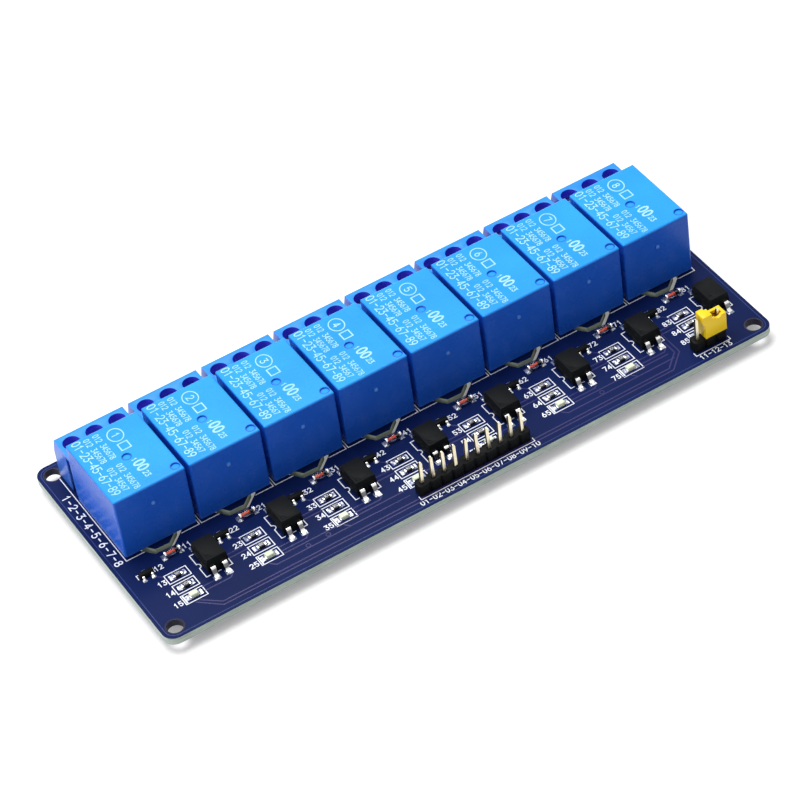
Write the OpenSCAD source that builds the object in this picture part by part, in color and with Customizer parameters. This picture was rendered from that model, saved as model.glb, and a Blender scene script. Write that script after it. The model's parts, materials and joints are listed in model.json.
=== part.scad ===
// Eight-channel relay module: one circuit board with a row of sealed relays, a row of
// three-way screw terminals behind them, the driver parts of each channel in front, and
// two pin headers along the front edge.
// X runs along the board, Y from the header edge (-) to the terminal edge (+), Z up.
// The origin is the centre of the mounting-hole pattern on the board's underside.

/* [Board] */
// Length of the circuit board
board_l = 138; // [137:0.5:150]
// Width of the circuit board
board_w = 56; // [55.5:0.5:62]
// Thickness of the circuit board
board_t = 1.6; // [1:0.1:2.4]
// Corner radius of the circuit board
board_corner_r = 2.6; // [1:0.2:3]
// Diameter of the four mounting holes
mount_hole_d = 3.4; // [2.6:0.1:3.6]
// Mounting-hole spacing along the board
mount_spacing_x = 132; // [130:0.5:132]
// Mounting-hole spacing across the board
mount_spacing_y = 50; // [48:0.5:50]
// Width of the milled isolation slot at each relay
slot_w = 1.15; // [0.8:0.05:1.2]
// Length of the soldered leads below the board
lead_below = 2; // [1.6:0.1:3]

/* [Relay row] */
// Distance between neighbouring channels
channel_pitch = 16.5; // [16.3:0.1:17]
// Offset of the row of channels from the middle of the board
row_shift = 0.35; // [0:0.05:0.6]
// Distance from the board's front edge to the relays' front faces
relay_setback = 23.85; // [23.4:0.05:24.4]
// Width of a relay along the board
relay_w = 15.6; // [15:0.1:15.8]
// Length of a relay across the board
relay_l = 19.6; // [19:0.1:19.8]
// Height of a relay above the board
relay_h = 15.1; // [14.6:0.1:16]
// Wall thickness of a relay cover
cover_wall = 0.8; // [0.6:0.05:0.9]
// Edge radius of a relay cover
cover_edge_r = 0.45; // [0.2:0.05:0.6]

/* [Relay mechanism] */
// Outer diameter of the coil's bobbin flanges
bobbin_d = 9.6; // [9:0.1:10]
// Outer diameter of the copper winding
winding_d = 8.8; // [7:0.1:9]
// Diameter of the iron core
core_d = 3.6; // [3:0.1:4]
// Thickness of the bent iron yoke
yoke_t = 1.2; // [1:0.1:1.3]
// Width of the yoke and of the armature
yoke_w = 9; // [7:0.1:10]
// Thickness of the armature plate
armature_t = 1; // [0.8:0.05:1.05]
// Angle through which the armature closes
armature_swing = 3; // [2:0.1:3]

/* [Screw terminals] */
// Distance between neighbouring ways of a terminal
way_pitch = 5.08; // [5:0.01:5.16]
// Depth of a terminal at its foot
terminal_d = 8.8; // [8.6:0.1:9.4]
// Depth of a terminal at its top
terminal_top_d = 7.6; // [7.4:0.1:8]
// Height of a terminal above the board
terminal_h = 10.2; // [9.9:0.1:11]
// Diameter of the wells over the screws
well_d = 3.6; // [3.5:0.05:3.9]
// Distance from the terminal's rear top edge to the well centres
well_setback = 2.75; // [2.6:0.05:3]
// Diameter of a clamp screw's head
screw_head_d = 3.2; // [3.1:0.05:3.4]
// Shank diameter of a clamp screw
screw_d = 2.5; // [2.4:0.05:2.6]

/* [Driver parts] */
// Width of an optocoupler along the board
opto_w = 4.6; // [4:0.1:4.8]
// Length of an optocoupler across the board
opto_l = 6.5; // [6:0.1:6.8]
// Height of an optocoupler's body
opto_h = 3.5; // [3:0.1:4]
// Width of a transistor along the board
transistor_w = 2.9; // [2.7:0.05:3]
// Depth of a transistor across the board
transistor_d = 1.3; // [1.2:0.05:1.4]
// Height of a transistor's body
transistor_h = 1; // [0.9:0.05:1.2]
// Diode diameter
diode_d = 1.45; // [1.2:0.05:1.6]
// Diode length
diode_l = 3.5; // [3.2:0.1:3.7]
// Length of a chip resistor or lamp
chip_l = 2; // [1.8:0.05:2.1]
// Width of a chip resistor or lamp
chip_w = 1.25; // [1.1:0.05:1.4]
// Height of a chip resistor
chip_h = 0.5; // [0.4:0.05:0.65]
// Height of an indicator lamp chip
led_h = 0.85; // [0.7:0.05:1.2]

/* [Headers] */
// Distance between neighbouring header pins
pin_pitch = 2.54; // [2.5:0.01:2.6]
// Side of a square header pin
pin_w = 0.64; // [0.5:0.02:0.7]
// Height of a header pin above its plastic strip
pin_above = 5.2; // [4.8:0.1:6]
// Height of the header strips
strip_h = 2.5; // [2.3:0.05:2.6]
// Distance from the board's front edge to the header pins
header_setback = 4.35; // [4.2:0.05:4.5]
// Position of the ten-pin input header along the board
input_header_x = 0.9; // [0:0.1:2]
// Position of the three-pin power header along the board
power_header_x = 56; // [55.5:0.05:56.2]
// Height of the jumper cap's body
jumper_h = 4.4; // [4.2:0.1:4.8]
// Width of the jumper cap across the board
jumper_w = 2.6; // [2.3:0.05:2.7]

/* [Hidden] */
channels = 8;
ways = 3;
input_pins = 10;
power_pins = 3;
$fn = 48;
eps = 0.01;
over = 1;

// heights of printed ink, copper pads and the solder under the board
ink_t = 0.03;
pad_t = 0.06;
joint_h = 1.1;
joint_w = 2.1;

// relay, measured from its front face and from the board's top
standoff = 0.4;
base_t = 1.2;
fit_gap = 0.05;
foot_clear = 1.2;
yoke_foot_top = standoff + base_t + yoke_t;
com_pin_y = 2.1;
coil_pin_run = 2;
contact_pin_run = 14.2;
pin_inset = 1.8;
coil_pin_y = com_pin_y + coil_pin_run;
contact_pin_y = com_pin_y + contact_pin_run;
relay_pin_x = relay_w / 2 - pin_inset;
blade_t = 0.5;
blade_w = 0.9;
yoke_y = com_pin_y + blade_t / 2;
flange_t = 0.8;
spool_t = 0.6;
coil_y = yoke_y + yoke_t + 0.2 + bobbin_d / 2;
armature_room = 2.75;
yoke_top = relay_h - cover_wall - armature_room;
pole_d = 5.4;
pole_t = 0.7;
armature_gap = 0.05;
leaf_t = 0.15;
leaf_w = 3;
contact_d = 1.6;
contact_t = 0.35;
contact_setback = 1;
leaf_reach = 2.3;
contact_y = contact_pin_y - contact_setback;
armature_end_y = contact_y - leaf_reach;
arm_t = 0.35;
contact_open = 0.03;

// terminal, measured from its front face and from the board's top
terminal_gap = 0.1;
terminal_shift = 0.3;
terminal_w = ways * way_pitch;
terminal_slope_z = 6.3;
well_depth = 3.4;
shoulder_z = terminal_h - well_depth;
well_y = terminal_top_d - well_setback;
screw_hole_d = screw_d + 0.4;
head_t = 1.2;
head_slot_w = 0.65;
head_slot_t = 0.6;
chamber_w = 4.1;
chamber_top = shoulder_z - 0.6;
chamber_front = 1.2;
rear_wall = 0.9;
window_w = 3.6;
window_sill = 1.3;
cage_w = 3.9;
cage_d = 4.6;
cage_side = (cage_w - screw_d) / 2 - fit_gap;
cage_floor = 0.6;
cage_z = 1.8;
cage_h = 3.8;
cage_top_t = 1;
tongue_t = 0.5;
tongue_w = 2.3;
tongue_z = cage_z + cage_h - cage_top_t - 0.7;
leg_y = 1.7;
leg_t = 0.6;
leg_w = 1.6;
leg_pin_w = 1;
key_w = 2.2;
key_t = 0.8;
key_clear = 0.15;
key_y = 2.2;
key_drop = 1.6;
lip = 0.8;

// driver parts, measured from the channel's middle and the relays' front faces
diode_y = -4.2;
transistor_at = [-6.65, -6.05];
chip_x = -1.87;
chip_row_y = [-9.62, -12.9, -16.15];
chip_box = [4.65, 2.55];
opto_at = [5.15, -10.15];
opto_lead_w = 1.1;
opto_lead_t = 0.25;
opto_lead_pitch = 2.54;
opto_lead_in = 0.4;
opto_reach = 2.1;
opto_lift = 0.15;
opto_mid = opto_lift + 0.48 * opto_h;
small_lead_w = 0.42;
small_lead_t = 0.13;
small_lead_in = 0.2;
small_lead_pitch = 0.95;
small_reach = 0.6;
transistor_lift = 0.12;
transistor_lead_z = 0.5;
end_cap_l = 0.4;
led_base_t = 0.3;
led_ledge = 0.5;

// headers and jumper cap
strip_w = 2.45;
notch = 0.6;
pin_lean = 1.6;
clip_t = 0.2;
clip_w = 1.3;
clip_gap = 0.03;
clip_z = [0.4, 3.7];
tab_l = 1.65;
tab_gap = 0.2;

relay_y = -board_w / 2 + relay_setback;
terminal_y = relay_y + relay_l + terminal_gap;
header_y = -board_w / 2 + header_setback;

function channel_x(c) = (c - (channels + 1) / 2) * channel_pitch + row_shift;
function way_x(w) = (w - (ways + 1) / 2) * way_pitch;
function header_pin_x(k, count, middle) = (k - (count + 1) / 2) * pin_pitch + middle;

// ---------- shared shapes ----------

module rounded_rect(w, d, r) {
    union() {
        translate([-w / 2 + r, -d / 2]) square([w - 2 * r, d]);
        translate([-w / 2, -d / 2 + r]) square([w, d - 2 * r]);
        for (sx = [-1, 1]) for (sy = [-1, 1])
            translate([sx * (w / 2 - r), sy * (d / 2 - r)]) circle(r);
    }
}

// a block with rounded upright edges and rounded top edges, its front face at y = 0
module rounded_block(w, d, h, r) {
    translate([0, d / 2, 0]) intersection() {
        linear_extrude(h) rounded_rect(w, d, r);
        translate([0, d / 2, 0]) rotate([90, 0, 0]) linear_extrude(d) rounded_rect(w, 2 * h, r);
        translate([-w / 2, 0, 0]) rotate([90, 0, 90]) linear_extrude(w) rounded_rect(d, 2 * h, r);
    }
}

// a straight stroke of the given width with round ends, in the XY plane
module stroke(a, b, w) {
    run = b - a;
    translate(a) rotate(atan2(run[1], run[0])) union() {
        translate([0, -w / 2]) square([norm(run), w]);
        circle(w / 2, $fn = 24);
        translate([norm(run), 0]) circle(w / 2, $fn = 24);
    }
}

module strokes(points, w) {
    for (k = [0:len(points) - 2]) stroke(points[k], points[k + 1], w);
}

module frame_box(size, w) {
    difference() {
        square(size + [w, w], center = true);
        square(size - [w, w], center = true);
    }
}

// a bent metal strip: its side outline in YZ, extruded along X about the middle
module strip_profile(points, w) {
    translate([-w / 2, 0, 0]) rotate([90, 0, 90]) linear_extrude(w) polygon(points);
}

module in_each_channel() {
    for (c = [1:channels]) translate([channel_x(c), relay_y, board_t]) children();
}

module in_each_terminal() {
    for (c = [1:channels])
        translate([channel_x(c) + terminal_shift, terminal_y, board_t]) children();
}

module in_each_way() {
    in_each_terminal() for (w = [1:ways]) translate([way_x(w), 0, 0]) children();
}

module at_input_pins() {
    for (k = [1:input_pins])
        translate([header_pin_x(k, input_pins, input_header_x), header_y, board_t]) children();
}

module at_power_pins() {
    for (k = [1:power_pins])
        translate([header_pin_x(k, power_pins, power_header_x), header_y, board_t]) children();
}

// ---------- circuit board ----------

slot_leg_x = relay_pin_x - 1.7;
slot_path = [[-slot_leg_x, 5.5], [-slot_leg_x, 1], [-2.35, -1.65], [1.2, -1.8],
             [slot_leg_x, 0.85], [slot_leg_x, 5.5]];

module lead_hole(d) {
    translate([0, 0, -board_t - over]) cylinder(d = d, h = board_t + 2 * over, $fn = 24);
}

relay_hole_d = 1.3;
leg_hole_d = 1.6;
pin_hole_d = 1.05;

module at_relay_pins() {
    translate([0, com_pin_y, 0]) children();
    for (sx = [-1, 1]) {
        translate([sx * relay_pin_x, coil_pin_y, 0]) children();
        translate([sx * relay_pin_x, contact_pin_y, 0]) children();
    }
}

module at_mounting_holes() {
    for (sx = [-1, 1]) for (sy = [-1, 1])
        translate([sx * mount_spacing_x / 2, sy * mount_spacing_y / 2, 0]) children();
}

module circuit_board() {
    color("#232f7a") difference() {
        linear_extrude(board_t) rounded_rect(board_l, board_w, board_corner_r);
        at_mounting_holes() translate([0, 0, -over])
            cylinder(d = mount_hole_d, h = board_t + 2 * over);
        in_each_channel() {
            at_relay_pins() lead_hole(relay_hole_d);
            translate([0, 0, -board_t - over]) linear_extrude(board_t + 2 * over)
                strokes(slot_path, slot_w);
        }
        in_each_way() translate([0, leg_y, 0]) lead_hole(leg_hole_d);
        at_input_pins() lead_hole(pin_hole_d);
        at_power_pins() lead_hole(pin_hole_d);
    }
}

// ---------- white print on the board ----------

line_w = 0.2;
silk_margin = 0.2;
digit_size = [0.85, 1.35];
digit_stroke = 0.19;

// strokes of the digits 0 to 9, lettered as on a seven-stroke display
digit_strokes = ["abcdef", "bc", "abdeg", "abcdg", "bcfg",
                 "acdfg", "acdefg", "abc", "abcdefg", "abcdfg"];

module digit(n, size, t) {
    w = size[0];
    h = size[1];
    ends = [["a", [0, h], [w, h]], ["b", [w, h / 2], [w, h]], ["c", [w, 0], [w, h / 2]],
            ["d", [0, 0], [w, 0]], ["e", [0, 0], [0, h / 2]], ["f", [0, h / 2], [0, h]],
            ["g", [0, h / 2], [w, h / 2]]];
    for (s = ends) if (len(search(s[0], digit_strokes[n])) > 0) {
        low = s[1] - [t / 2, t / 2];
        translate(low - size / 2) square(s[2] - s[1] + [t, t]);
    }
}

// a one- or two-figure number about its middle
module number(n, size = digit_size, t = digit_stroke) {
    step = size[0] + 0.5;
    if (n < 10) digit(n, size, t);
    else {
        translate([-step / 2, 0]) digit(floor(n / 10), size, t);
        translate([step / 2, 0]) digit(n % 10, size, t);
    }
}

module relay_outline() {
    w = relay_w / 2 + silk_margin;
    gap_half = 4.1;
    front = -0.5;
    d = relay_l - line_w - front;
    difference() {
        translate([0, front + d / 2]) frame_box([2 * w, d], line_w);
        translate([-gap_half, front - 1]) square([2 * gap_half, 2]);
    }
}

module opto_outline() {
    w = opto_w / 2 + 0.55;
    d = opto_l / 2 + 0.15;
    notch_r = 0.6;
    difference() {
        union() {
            frame_box([2 * w, 2 * d], line_w);
            translate([-w, 0]) circle(notch_r + line_w / 2);
        }
        translate([-w, 0]) circle(notch_r - line_w / 2);
        translate([-w - 1.5, -1.5]) square([1.5 - line_w / 2, 3]);
        for (sy = [-1, 1]) translate([0, sy * d]) square([opto_lead_pitch + 1.8, 1], center = true);
    }
}

module transistor_corner() {
    for (sx = [-1, 1]) {
        translate([sx * 1.6, 0.35]) square([line_w, 1.1], center = true);
        translate([sx * 1.3, 0.85]) square([0.7, line_w], center = true);
    }
}

module header_outline(count, middle) {
    w = count * pin_pitch / 2 + 0.25;
    d = strip_w / 2 + 0.6;
    translate([middle, header_y]) difference() {
        frame_box([2 * w, 2 * d], line_w);
        translate([-w - 1, -0.2]) square([2 * w + 2, d + 1]);
    }
}

// distances of the printed numbers from the part they stand beside
label_at = [["diode", [3.55, -3.95], 1], ["transistor", [-3.9, -5.9], 2],
            ["upper_chip", [-5.5, -9.75], 3], ["lower_chip", [-5.5, -13.1], 4],
            ["lamp", [-5.7, -16.4], 5]];
header_label_drop = 3.15;
side_label_x = 2.1;
side_label_step = 2.9;

module silkscreen() {
    color("white") translate([0, 0, board_t]) linear_extrude(ink_t) {
        for (c = [1:channels]) translate([channel_x(c), relay_y]) {
            relay_outline();
            translate(opto_at) opto_outline();
            translate(transistor_at) transistor_corner();
            for (y = chip_row_y) translate([chip_x, y - 0.02]) frame_box(chip_box, line_w);
            for (label = label_at) translate(label[1]) number(10 * c + label[2]);
        }
        header_outline(input_pins, input_header_x);
        header_outline(power_pins, power_header_x);
        for (k = [1:input_pins])
            translate([header_pin_x(k, input_pins, input_header_x), header_y - header_label_drop])
                number(k - 1);
        for (k = [1:power_pins])
            translate([header_pin_x(k, power_pins, power_header_x), header_y - header_label_drop])
                number(k - 1);
        for (c = [1:channels])
            translate([-board_l / 2 + side_label_x, relay_y + 24 - side_label_step * c])
                rotate(-90) number(c);
    }
}

// ---------- solder ----------

module pad(size) {
    translate([-size[0] / 2, -size[1] / 2, 0]) cube([size[0], size[1], pad_t]);
}

module solder_pads() {
    chip_pad = [1.25, 1.3];
    color("silver") in_each_channel() {
        for (sx = [-1, 1]) {
            translate([sx * diode_l / 2, diode_y, 0]) pad([1.1, 1.6]);
            for (y = chip_row_y) translate([chip_x + sx * 1.15, y, 0]) pad(chip_pad);
            for (sy = [-1, 1])
                translate(concat(opto_at, 0) + [sx * opto_lead_pitch / 2,
                          sy * (opto_l / 2 + opto_reach - 0.6), 0]) pad([1.4, 1.3]);
        }
        translate(concat(transistor_at, 0)) {
            toe = transistor_d / 2 + small_reach - 0.15;
            for (sx = [-1, 1]) translate([sx * small_lead_pitch, -toe, 0]) pad([0.8, 0.9]);
            translate([0, toe, 0]) pad([0.8, 0.9]);
        }
    }
}

// solder that fills a lead's hole and rises to a cone round the lead under the board
module joint_cone(hole_d) {
    rotate_extrude($fn = 32) polygon([[0, 0], [hole_d / 2, 0], [hole_d / 2, -board_t],
        [joint_w / 2, -board_t], [joint_w / 2, -board_t - 0.12],
        [0.85, -board_t - 0.4], [0.62, -board_t - joint_h], [0, -board_t - joint_h]]);
}

module solder_joints() {
    color("silver") {
        in_each_channel() at_relay_pins() difference() {
            joint_cone(relay_hole_d);
            relay_lead();
        }
        in_each_way() translate([0, leg_y, 0]) difference() {
            joint_cone(leg_hole_d);
            leg_lead();
        }
        at_input_pins() difference() {
            joint_cone(pin_hole_d);
            pin_lead();
        }
        at_power_pins() difference() {
            joint_cone(pin_hole_d);
            pin_lead();
        }
    }
}

// the part of each kind of lead that passes through the board
module relay_lead() {
    translate([-blade_w / 2, -blade_t / 2, -board_t - lead_below])
        cube([blade_w, blade_t, board_t + lead_below]);
}

module leg_lead() {
    translate([-leg_pin_w / 2, -leg_t / 2, -board_t - lead_below])
        cube([leg_pin_w, leg_t, board_t + lead_below]);
}

module pin_lead() {
    translate([-pin_w / 2, -pin_w / 2, -board_t - lead_below])
        cube([pin_w, pin_w, board_t + lead_below]);
}

// ---------- relays ----------

dimple_d = 1.8;
dimple_t = 0.3;
middle_dimple = [0.3, 9.6];
corner_dimple = [1.3, 1.6];
gate_d = 1;
gate_z = 10.6;

module relay_covers() {
    color("#3fa4f4") in_each_channel() union() {
        difference() {
            translate([0, 0, standoff])
                rounded_block(relay_w, relay_l, relay_h - standoff, cover_edge_r);
            translate([-relay_w / 2 + cover_wall, cover_wall, standoff - 1])
                cube([relay_w - 2 * cover_wall, relay_l - 2 * cover_wall,
                      relay_h - standoff - cover_wall + 1]);
            for (at = [middle_dimple, [relay_w / 2 - corner_dimple[0], corner_dimple[1]]])
                translate([at[0], at[1], relay_h - dimple_t]) cylinder(d = dimple_d, h = over);
        }
        translate([0, 0.05, gate_z]) rotate([90, 0, 0]) cylinder(d = gate_d, h = 0.2, $fn = 24);
    }
}

print_digit = [0.95, 1.75];
print_stroke = 0.26;
print_y = 18.2;

// pale print on top of a cover: a row of plain figures, dashes, a ring and two blocks
module cover_marks(c) {
    translate([-5.95, print_y]) rotate(-90) for (k = [0:9])
        translate([k * 1.72, 0]) digit(k, print_digit, print_stroke);
    for (x = [-3.9, -1.9]) for (run = [[18.9, 3], [15.3, 4.6], [8.9, 2.6], [5.7, 4.2]])
        for (k = [0:floor(run[1] / 0.8) - 1])
            translate([x, run[0] - 0.8 * k]) square([1.15, 0.5], center = true);
    translate([1.35, 16.1]) {
        difference() {
            circle(1.9);
            circle(1.6);
        }
        rotate(-90) digit(c, [0.8, 1.4], print_stroke);
    }
    translate([1.4, 12.6]) frame_box([2, 1.2], print_stroke);
    translate([1.4, 6.1]) square([2, 2.4], center = true);
    translate([1.4, 3.4]) square([1, 1.4], center = true);
}

module cover_print() {
    color("#b5e2ff") for (c = [1:channels])
        translate([channel_x(c), relay_y, board_t + relay_h]) linear_extrude(ink_t)
            cover_marks(c);
}

base_w = relay_w - 2 * cover_wall - 2 * fit_gap;
base_l = relay_l - 2 * cover_wall - 2 * fit_gap;
foot_d = 1.4;
foot_inset = 1;

module relay_bases() {
    color("#26348a") in_each_channel() difference() {
        union() {
            translate([-base_w / 2, cover_wall + fit_gap, standoff])
                cube([base_w, base_l, base_t]);
            for (sx = [-1, 1]) for (sy = [-1, 1])
                translate([sx * (base_w / 2 - foot_inset),
                           relay_l / 2 + sy * (base_l / 2 - foot_inset), 0])
                    cylinder(d = foot_d, h = standoff + eps, $fn = 24);
        }
        at_relay_pins() blade_hole();
    }
}

// the passage round a blade through a moulded piece
module blade_hole() {
    translate([0, 0, base_t])
        cube([blade_w + 2 * fit_gap, blade_t + 2 * fit_gap, 4 * base_t], center = true);
}

bobbin_lug_x = relay_pin_x + 0.7;
bobbin_lug_y = [yoke_y + yoke_t + 0.1, coil_pin_y + 0.7];
pole_z = yoke_top - 0.03;

spool_h = pole_z - pole_t - yoke_foot_top;

module coil_bobbins() {
    color("#e8e4d8") in_each_channel() translate([0, 0, yoke_foot_top]) difference() {
        union() {
            translate([0, coil_y, 0]) {
                cylinder(d = bobbin_d, h = flange_t);
                cylinder(d = core_d + 2 * spool_t, h = spool_h);
                translate([0, 0, spool_h - flange_t]) cylinder(d = bobbin_d, h = flange_t);
            }
            translate([-bobbin_lug_x, bobbin_lug_y[0], 0])
                cube([2 * bobbin_lug_x, bobbin_lug_y[1] - bobbin_lug_y[0] + 1, flange_t]);
        }
        translate([0, coil_y, -1]) cylinder(d = core_d + 2 * fit_gap, h = spool_h + 2);
        for (sx = [-1, 1]) translate([sx * relay_pin_x, coil_pin_y, 0]) blade_hole();
    }
}

module coil_windings() {
    color("#b4622d") in_each_channel() translate([0, coil_y, yoke_foot_top + flange_t])
        difference() {
            cylinder(d = winding_d, h = spool_h - 2 * flange_t);
            translate([0, 0, -1]) cylinder(d = core_d + 2 * spool_t, h = spool_h);
        }
}

module relay_cores() {
    color("#9a9ea2") in_each_channel() translate([0, coil_y, 0]) {
        translate([0, 0, yoke_foot_top]) cylinder(d = core_d, h = pole_z - yoke_foot_top);
        translate([0, 0, pole_z - pole_t]) cylinder(d = pole_d, h = pole_t);
    }
}

module relay_yokes() {
    foot_w = 2 * relay_pin_x - blade_w - 2 * foot_clear;
    color("#8d9196") in_each_channel() union() {
        translate([-yoke_w / 2, yoke_y, yoke_foot_top - yoke_t])
            cube([yoke_w, yoke_t, yoke_top - yoke_foot_top + yoke_t]);
        translate([-foot_w / 2, yoke_y, yoke_foot_top - yoke_t])
            cube([foot_w, coil_y + core_d / 2 + 1 - yoke_y, yoke_t]);
    }
}

// heights of the moving contact, from the hinge line
hinge_z = yoke_top + armature_gap;
leaf_z = armature_t;
contact_low = leaf_z - contact_t;
contact_high = leaf_z + leaf_t + contact_t;
contact_reach = contact_y - yoke_y;
contact_rise = (contact_reach + contact_d / 2) * sin(armature_swing)
    + contact_high * cos(armature_swing);

// a blade that rises from the board to height h
module relay_blade(h) {
    relay_lead();
    translate([-blade_w / 2, -blade_t / 2, -eps]) cube([blade_w, blade_t, h + eps]);
}

// a blade with a level arm from it to over the middle of the relay
module contact_blade(arm_z, side) {
    arm_l = relay_pin_x + blade_w / 2 + contact_d / 2;
    arm_front = contact_y - contact_d / 2;
    translate([side * relay_pin_x, contact_pin_y, 0]) relay_blade(arm_z + arm_t);
    translate([side > 0 ? -contact_d / 2 : contact_d / 2 - arm_l, arm_front, arm_z])
        cube([arm_l, contact_pin_y + blade_t / 2 - arm_front, arm_t]);
}

module relay_pins() {
    coil_pin_top = yoke_foot_top + flange_t;
    open_z = hinge_z + contact_low - contact_open - contact_t;
    closed_z = hinge_z + contact_rise + contact_open;
    color("#d8d4c8") in_each_channel() {
        // common blade, against the yoke
        translate([0, com_pin_y, 0]) relay_blade(yoke_top / 2);
        for (sx = [-1, 1]) translate([sx * relay_pin_x, coil_pin_y, 0]) relay_blade(coil_pin_top);
        // normally open contact below the moving one
        union() {
            contact_blade(open_z - arm_t, 1);
            translate([0, contact_y, open_z - eps])
                cylinder(d = contact_d, h = contact_t + eps, $fn = 32);
        }
        // normally closed contact above it
        contact_blade(closed_z, -1);
    }
}

// iron plate with its contact leaf and rivet, tilted open about the yoke's front top edge
module armature(c) {
    color("#a7abb0") translate([channel_x(c), relay_y + yoke_y, board_t + hinge_z])
        rotate([armature_swing, 0, 0]) union() {
            translate([-yoke_w / 2, 0, 0])
                cube([yoke_w, armature_end_y - yoke_y, armature_t]);
            translate([-leaf_w / 2, 1, leaf_z])
                cube([leaf_w, contact_reach + contact_d / 2 - 0.8, leaf_t]);
            translate([0, contact_reach, contact_low])
                cylinder(d = contact_d, h = contact_high - contact_low, $fn = 32);
        }
}

// ---------- screw terminals ----------

module key_profile(grow) {
    half = key_w / 2 + grow;
    neck = half - 0.5;
    polygon([[-neck, 0], [neck, 0], [half, key_t + grow], [-half, key_t + grow]]);
}

module way_hollow() {
    translate([0, well_y, shoulder_z]) cylinder(d = well_d, h = well_depth + 1);
    translate([0, well_y, chamber_top - 1]) cylinder(d = screw_hole_d, h = 3);
    translate([-chamber_w / 2, chamber_front, -1])
        cube([chamber_w, terminal_d - rear_wall - chamber_front, chamber_top + 1]);
    arch_z = chamber_top - lip - window_w / 2;
    translate([0, terminal_d + 1, 0]) rotate([90, 0, 0]) linear_extrude(rear_wall + 2) union() {
        translate([-window_w / 2, window_sill]) square([window_w, arch_z - window_sill]);
        translate([0, arch_z]) circle(window_w / 2);
    }
}

module terminal_housings() {
    profile = [[0, 0], [terminal_d, 0], [terminal_d, terminal_slope_z],
               [terminal_top_d, terminal_h], [0, terminal_h]];
    color("#3f97f2") in_each_terminal() difference() {
        union() {
            strip_profile(profile, terminal_w);
            translate([terminal_w / 2, key_y, 0]) rotate([0, 0, -90])
                linear_extrude(terminal_h - key_drop) key_profile(0);
        }
        translate([-terminal_w / 2 - eps, key_y, -1]) rotate([0, 0, -90])
            linear_extrude(terminal_h) key_profile(key_clear);
        for (w = [1:ways]) translate([way_x(w), 0, 0]) way_hollow();
    }
}

module terminal_cages() {
    color("#c9ccd0") in_each_way() translate([0, well_y, cage_z]) difference() {
        translate([-cage_w / 2, -cage_d / 2, 0]) cube([cage_w, cage_d, cage_h]);
        translate([-cage_w / 2 + cage_side, -cage_d / 2 - 1, cage_floor])
            cube([cage_w - 2 * cage_side, cage_d + 2, cage_h - cage_top_t - cage_floor]);
        translate([0, 0, cage_h - cage_top_t - 0.1])
            cylinder(d = screw_d + 2 * fit_gap, h = cage_top_t + 1);
    }
}

module terminal_legs() {
    color("#d8d4c8") in_each_way() union() {
        translate([0, leg_y, 0]) leg_lead();
        translate([-leg_w / 2, leg_y - leg_t / 2, 0]) cube([leg_w, leg_t, tongue_z + tongue_t]);
        translate([-tongue_w / 2, leg_y - leg_t / 2, tongue_z])
            cube([tongue_w, well_y + cage_d / 2 - leg_y, tongue_t]);
    }
}

// a slotted clamp screw, its head on the shoulder of the well, its tip over the tongue
module terminal_screw(c, w) {
    tip_z = tongue_z + tongue_t + fit_gap;
    head_z = shoulder_z + fit_gap;
    color("#cfd2d6")
        translate([channel_x(c) + terminal_shift + way_x(w), terminal_y + well_y, board_t])
        difference() {
            union() {
                translate([0, 0, tip_z]) cylinder(d = screw_d, h = head_z - tip_z + eps);
                translate([0, 0, head_z]) cylinder(d = screw_head_d, h = head_t);
            }
            translate([0, 0, head_z + head_t]) rotate(37 * c + 61 * w)
                cube([screw_head_d + 1, head_slot_w, 2 * head_slot_t], center = true);
        }
}

// ---------- driver parts ----------

module optocoupler_bodies() {
    w = opto_w / 2;
    d = opto_l / 2;
    top = opto_lift + opto_h;
    draft = 0.22;
    color("#1b1c1f") in_each_channel() translate(concat(opto_at, 0)) difference() {
        intersection() {
            translate([0, d, 0]) rotate([90, 0, 0]) linear_extrude(2 * d)
                polygon([[-w + draft, opto_lift], [w - draft, opto_lift], [w, opto_mid],
                         [w - draft, top], [-w + draft, top], [-w, opto_mid]]);
            strip_profile([[-d + draft, opto_lift], [d - draft, opto_lift], [d, opto_mid],
                           [d - draft, top], [-d + draft, top], [-d, opto_mid]], 2 * w);
        }
        translate([-w + 1, -d + 1.1, top - 0.1]) cylinder(d = 0.9, h = 1, $fn = 24);
        for (sx = [-1, 1]) for (sy = [-1, 1])
            translate([sx * opto_lead_pitch / 2, sy * d, opto_mid])
                cube([opto_lead_w, 2 * opto_lead_in, opto_lead_t], center = true);
    }
}

// gull-wing outline: start depth, reach, rise and thickness
module gull_wing(start, reach, rise, t, foot) {
    strip = [[start, rise + t / 2], [start, rise - t / 2],
             [start + reach * 0.28, rise - t / 2], [start + reach - foot, 0],
             [start + reach, 0], [start + reach, t], [start + reach - foot + t * 0.8, t],
             [start + reach * 0.28 + t, rise + t / 2]];
    polygon(strip);
}

module optocoupler_leads() {
    color("#e4e2dc") in_each_channel() translate(concat(opto_at, pad_t)) {
        for (sx = [-1, 1]) for (turn = [0, 180])
            rotate(turn) translate([sx * opto_lead_pitch / 2 - opto_lead_w / 2, 0, 0])
                rotate([90, 0, 90]) linear_extrude(opto_lead_w)
                    gull_wing(opto_l / 2 - opto_lead_in, opto_reach + opto_lead_in,
                              opto_mid - pad_t, opto_lead_t, 0.8);
    }
}

module transistor_bodies() {
    half = transistor_d / 2;
    chamfer = 0.2;
    shoulder = 0.55 * transistor_h;
    color("#1b1c1f") in_each_channel() translate(concat(transistor_at, transistor_lift))
        difference() {
            strip_profile([[-half, 0], [half, 0], [half, shoulder],
                           [half - chamfer, transistor_h], [-half + chamfer, transistor_h],
                           [-half, shoulder]], transistor_w);
            for (sx = [-1, 1]) transistor_lead_pocket(sx * small_lead_pitch, -1);
            transistor_lead_pocket(0, 1);
        }
}

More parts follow.
